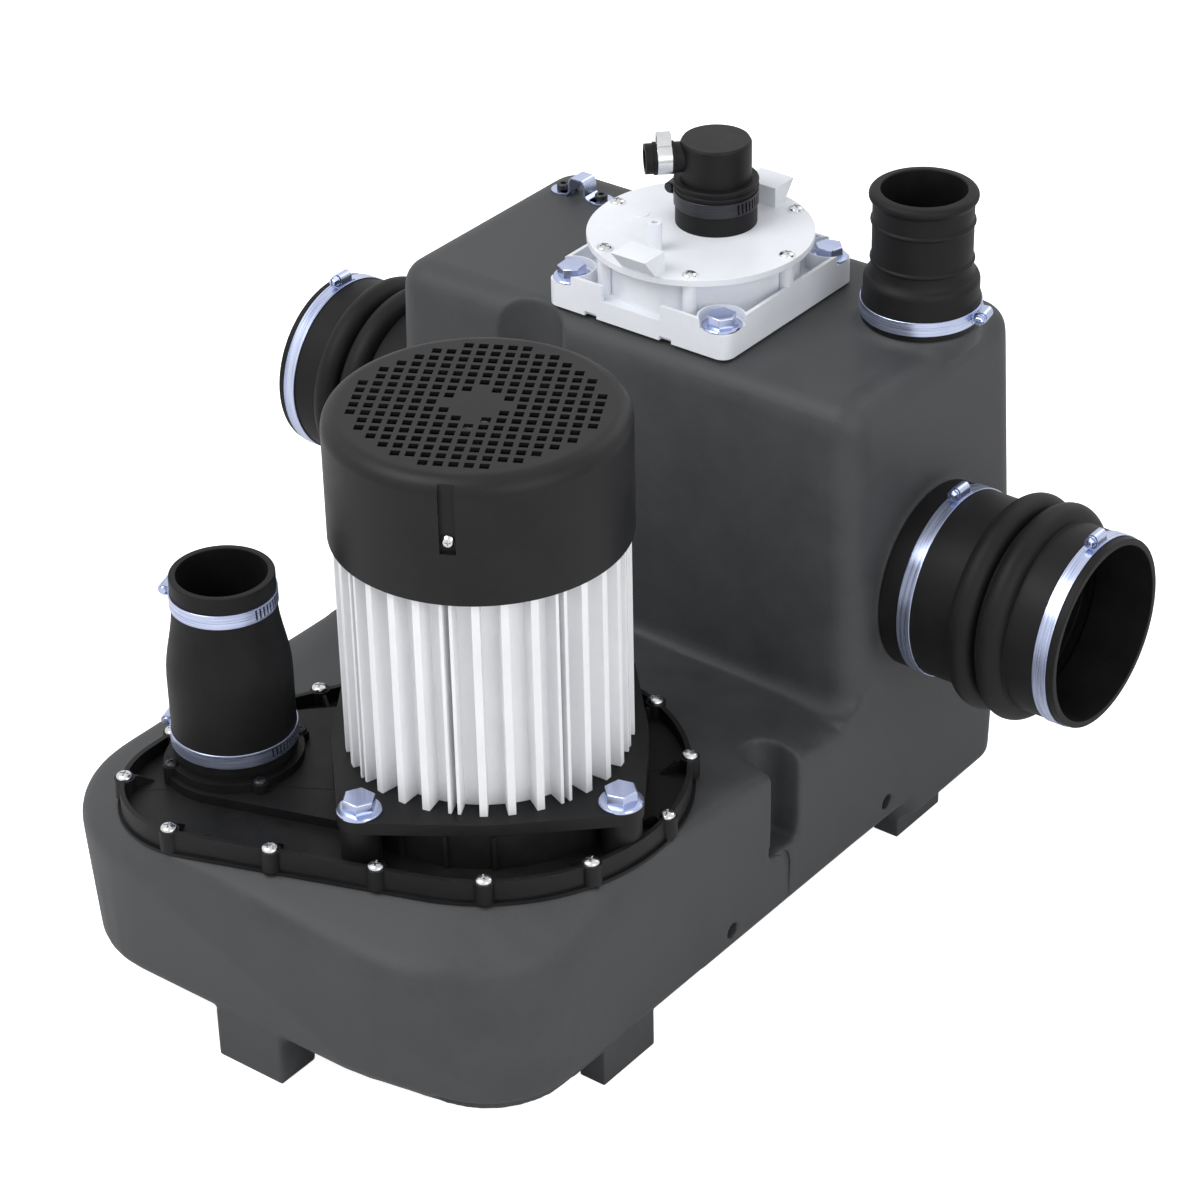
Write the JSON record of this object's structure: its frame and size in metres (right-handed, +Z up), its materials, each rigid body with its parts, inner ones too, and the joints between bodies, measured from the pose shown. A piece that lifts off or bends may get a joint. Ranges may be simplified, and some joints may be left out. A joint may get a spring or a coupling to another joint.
{
  "type": "macerator toilet pump",
  "caption": "Floor-standing macerator toilet pump: tank on feet, finned motor on a low nose, ribbed side inlets, upright inlet and discharge couplings, vented white level chamber.",
  "frame": {"origin": "on the floor plane, straight under the motor shaft", "axes": "+Z up, +X along the side inlets to the right-hand inlet, +Y from the motor nose to the tall box"},
  "size_m": [0.601, 0.548, 0.4444],
  "materials": {
    "tank_plastic": "matte",
    "black_plastic": "satin",
    "black_rubber": "matte",
    "white_plastic": "satin",
    "motor_aluminium": "extruded",
    "zinc_steel": "zinc plated",
    "stainless": "bright",
    "dark_steel": "blackened",
    "copper_winding": "enamelled",
    "rotor_iron": "ground"
  },
  "bodies": {
    "housing": {"tank": "tank_plastic", "cover_gasket": "black_rubber", "pump_cover": "black_plastic", "cover_screws": "stainless", "volute": "black_plastic", "volute_screws": "stainless", "cutter_plate": "stainless", "motor_plate": "black_plastic", "motor_bolts": "zinc_steel", "motor_housing": "motor_aluminium", "tie_studs": "zinc_steel", "stator": "copper_winding", "lower_bearing": "stainless", "upper_bearing": "stainless", "end_shield": "motor_aluminium", "shaft_seal": "stainless", "fan_cover": "black_plastic", "fan_cover_screws": "stainless", "discharge_flange": "black_plastic", "flange_screws": "dark_steel", "flap_pin": "stainless", "discharge_coupling": "black_rubber", "discharge_upper_band": "zinc_steel", "discharge_lower_band": "zinc_steel", "right_coupling": "black_rubber", "left_coupling": "black_rubber", "right_inner_band": "zinc_steel", "right_outer_band": "zinc_steel", "left_inner_band": "zinc_steel", "left_outer_band": "zinc_steel", "inlet_coupling": "black_rubber", "inlet_band": "zinc_steel", "level_base": "white_plastic", "level_gasket": "black_rubber", "level_bolts": "zinc_steel", "level_lid": "white_plastic", "lid_screws": "stainless", "dip_tube": "black_plastic", "pressure_switch": "black_plastic", "vent_sleeve": "black_rubber", "sleeve_band": "dark_steel", "vent_elbow": "black_plastic", "vent_hose": "black_rubber", "hose_clip": "stainless", "cable_bracket": "zinc_steel", "bracket_nuts": "dark_steel"},
    "motor_rotor": {"shaft": "stainless", "rotor": "rotor_iron", "cooling_fan": "black_plastic", "impeller": "black_plastic", "cutter": "stainless"},
    "non_return_flap": {"valve_flap": "black_rubber"},
    "discharge_upper_screw": {"discharge_upper_worm": "zinc_steel"},
    "discharge_lower_screw": {"discharge_lower_worm": "zinc_steel"},
    "right_inner_screw": {"right_inner_worm": "zinc_steel"},
    "right_outer_screw": {"right_outer_worm": "zinc_steel"},
    "left_inner_screw": {"left_inner_worm": "zinc_steel"},
    "left_outer_screw": {"left_outer_worm": "zinc_steel"},
    "inlet_screw": {"inlet_worm": "zinc_steel"},
    "sleeve_screw": {"sleeve_worm": "dark_steel"}
  },
  "joints": [
    {"name": "motor_spin", "type": "hinge", "parent": "housing", "child": "motor_rotor", "pos_m": [0, 0, 0.184], "axis": [0, 0, 1], "continuous": true},
    {"name": "flap_hinge", "type": "hinge", "parent": "housing", "child": "non_return_flap", "pos_m": [-0.129, -0.0575, 0.1715], "axis": [-1, 0, 0], "range_deg": [0, 65]},
    {"name": "discharge_upper_screw_turn", "type": "hinge", "parent": "housing", "child": "discharge_upper_screw", "pos_m": [-0.16219, -0.08893, 0.271], "axis": [-0.3256, 0.9455, 0], "continuous": true},
    {"name": "discharge_lower_screw_turn", "type": "hinge", "parent": "housing", "child": "discharge_lower_screw", "pos_m": [-0.16786, -0.09088, 0.1801], "axis": [-0.3256, 0.9455, 0], "continuous": true},
    {"name": "right_inner_screw_turn", "type": "hinge", "parent": "housing", "child": "right_inner_screw", "pos_m": [0.14, 0.279, 0.2627], "axis": [0, -1, 0], "continuous": true},
    {"name": "right_outer_screw_turn", "type": "hinge", "parent": "housing", "child": "right_outer_screw", "pos_m": [0.2345, 0.279, 0.2627], "axis": [0, -1, 0], "continuous": true},
    {"name": "left_inner_screw_turn", "type": "hinge", "parent": "housing", "child": "left_inner_screw", "pos_m": [-0.253, 0.279, 0.2627], "axis": [0, -1, 0], "continuous": true},
    {"name": "left_outer_screw_turn", "type": "hinge", "parent": "housing", "child": "left_outer_screw", "pos_m": [-0.3475, 0.279, 0.2627], "axis": [0, -1, 0], "continuous": true},
    {"name": "inlet_screw_turn", "type": "hinge", "parent": "housing", "child": "inlet_screw", "pos_m": [0.12362, 0.32542, 0.3558], "axis": [0.2079, -0.9781, 0], "continuous": true},
    {"name": "sleeve_screw_turn", "type": "hinge", "parent": "housing", "child": "sleeve_screw", "pos_m": [-0.07638, 0.28539, 0.402], "axis": [-0.1219, 0.9925, 0], "continuous": true}
  ]
}
